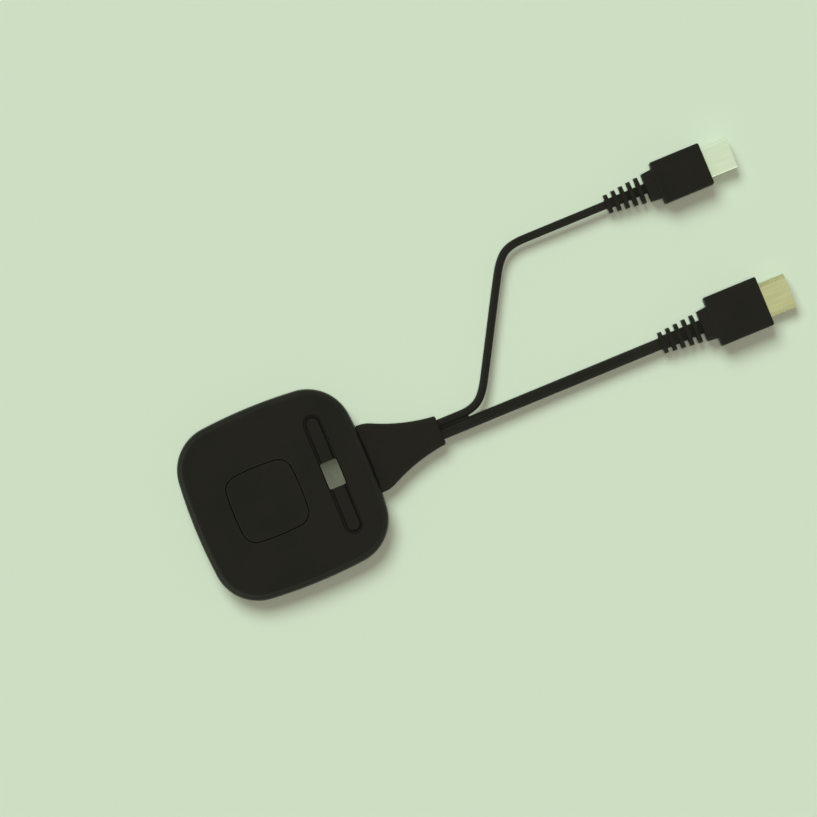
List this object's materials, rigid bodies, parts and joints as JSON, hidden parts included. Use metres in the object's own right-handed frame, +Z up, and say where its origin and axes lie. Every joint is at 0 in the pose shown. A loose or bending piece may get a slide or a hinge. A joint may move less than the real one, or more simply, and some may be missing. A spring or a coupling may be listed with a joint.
{
  "type": "wireless screen sharing dongle",
  "caption": "Low square puck with a push button, an indicator bar and a flared boot; short cables lead from it to a video plug and a USB plug.",
  "frame": {"origin": "centre of the puck on the surface it stands on, under its feet", "axes": "+Z up out of the button face, +X from the puck along the cables towards the plugs, +Y towards the USB plug's side"},
  "size_m": [0.2485, 0.1012, 0.012],
  "materials": {
    "case": "fine matte",
    "button": "fine matte",
    "bar": "satin",
    "window": "frosted, unlit",
    "light_guide": "clear",
    "rubber_foot": "matte",
    "screw": "zinc plated",
    "board": "solder mask",
    "chip": "moulded",
    "shield": "tinned",
    "antenna": "ceramic",
    "led": "clear",
    "socket": "natural",
    "plunger": "moulded",
    "boot": "fine matte",
    "cable": "satin",
    "strain_relief": "matte",
    "plug": "fine matte",
    "video_shell": "pale gold plated",
    "usb_shell": "nickel plated",
    "insert": "moulded",
    "contact": "gold plated"
  },
  "bodies": {
    "dongle": {"top_cover": "case", "bottom_cover": "case", "bar_inlay_near": "bar", "bar_inlay_far": "bar", "status_window": "window", "light_guide": "light_guide", "foot_near_left": "rubber_foot", "foot_near_right": "rubber_foot", "foot_far_right": "rubber_foot", "foot_far_left": "rubber_foot", "screw_near_left": "screw", "screw_near_right": "screw", "screw_far_right": "screw", "screw_far_left": "screw", "main_board": "board", "video_processor": "chip", "memory_chip": "chip", "switch_body": "chip", "power_module": "chip", "wireless_module": "shield", "antenna_near": "antenna", "antenna_far": "antenna", "status_led_near": "led", "status_led_far": "led", "video_board_socket": "socket", "usb_board_socket": "socket", "cable_boot": "boot", "video_cable": "cable", "usb_cable": "cable", "video_inner_lead": "cable", "usb_inner_lead": "cable", "video_strain_relief": "strain_relief", "usb_strain_relief": "strain_relief", "video_plug_body": "plug", "usb_plug_body": "plug", "video_plug_shell": "video_shell", "usb_plug_shell": "usb_shell", "video_plug_insert": "insert", "usb_plug_tongue": "insert", "video_contacts_lower": "contact", "video_contacts_upper": "contact", "usb_contacts": "contact"},
    "button": {"share_button": "button", "switch_plunger": "plunger"}
  },
  "joints": [
    {"name": "share_button_press", "type": "slide", "parent": "dongle", "child": "button", "axis": [0, 0, -1], "range_m": [0, 0.0006], "stiffness_N_per_m": 1200, "springref_m": -0.0006}
  ]
}
